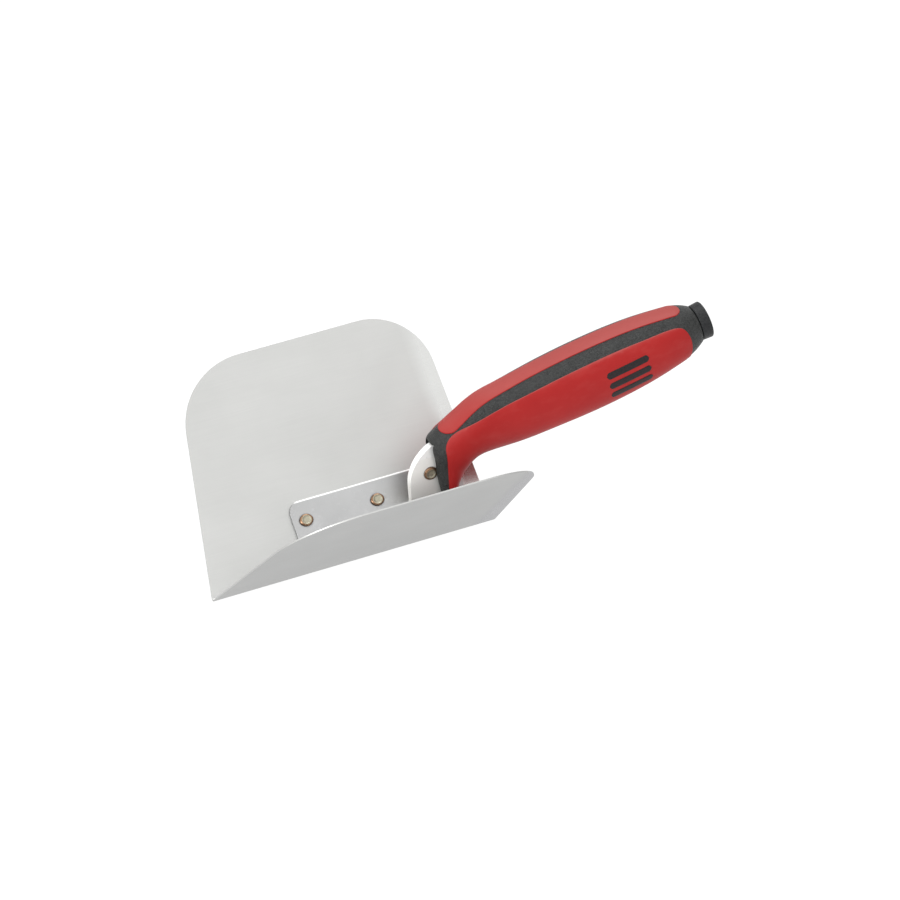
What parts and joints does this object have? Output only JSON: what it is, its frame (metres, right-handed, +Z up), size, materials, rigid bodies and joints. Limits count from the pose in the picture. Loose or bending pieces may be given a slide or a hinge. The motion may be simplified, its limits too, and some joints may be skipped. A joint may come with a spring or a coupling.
{
  "type": "inside corner trowel",
  "caption": "V-shaped inside corner trowel: folded thin steel blade, riveted bracket and two-colour soft-grip handle.",
  "frame": {"origin": "centre of the underside of the whole tool: half-way between the front tip of the blade and the end of the handle, in the middle plane, level with the bottom of the fold", "axes": "+X along the fold from the front tip towards the handle end, +Z up in the plane that halves the blade's opening, +Y towards the far wing; the two sides mirror each other in Y"},
  "size_m": [0.2254, 0.1358, 0.0761],
  "materials": {
    "blade_steel": "fine satin, rolled stainless sheet",
    "bracket_steel": "bright satin",
    "copper_plate": "dull copper plating, worn at the peened centre",
    "pin_steel": "turned",
    "black_core": "fine grain",
    "red_grip": "silky matt",
    "black_cap": "fine grain"
  },
  "bodies": {
    "root": {"blade": "blade_steel", "bracket_far_half": "bracket_steel", "bracket_near_half": "bracket_steel", "far_wing_studs": "copper_plate", "near_wing_studs": "copper_plate", "web_rivets": "copper_plate", "tang_pins": "pin_steel", "handle_core": "black_core", "top_grip_strip": "red_grip", "grip_sleeve": "red_grip", "end_cap": "black_cap"}
  },
  "joints": []
}
